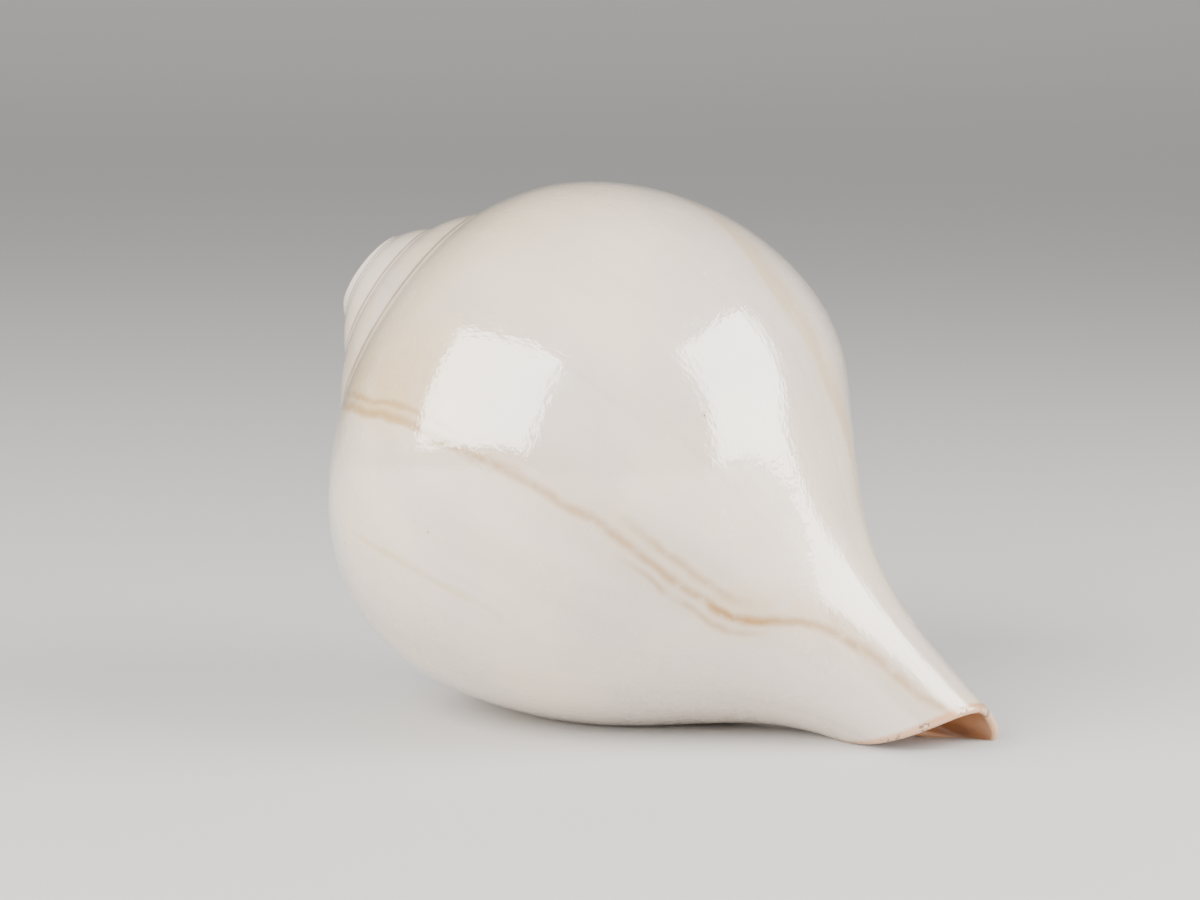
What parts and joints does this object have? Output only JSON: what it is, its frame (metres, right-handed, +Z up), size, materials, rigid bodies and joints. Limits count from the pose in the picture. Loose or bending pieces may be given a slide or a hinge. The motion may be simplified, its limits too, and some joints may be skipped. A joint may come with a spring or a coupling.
{
  "type": "conch shell horn",
  "caption": "Polished white chank conch shell with its tip ground off for blowing, lying on its aperture, its siphonal canal pointing forward and down.",
  "frame": {"origin": "bottom centre of the shell's box as it lies on its aperture", "axes": "+Z up, +X towards the siphonal canal, along which the shell's axis points and slopes down, +Y out of the aperture on the far side"},
  "size_m": [0.1366, 0.103, 0.1072],
  "materials": {
    "polished_shell": "polished shell, warm off-white with faint tan growth lines"
  },
  "bodies": {
    "root": {"conch_shell": "polished_shell"}
  },
  "joints": []
}
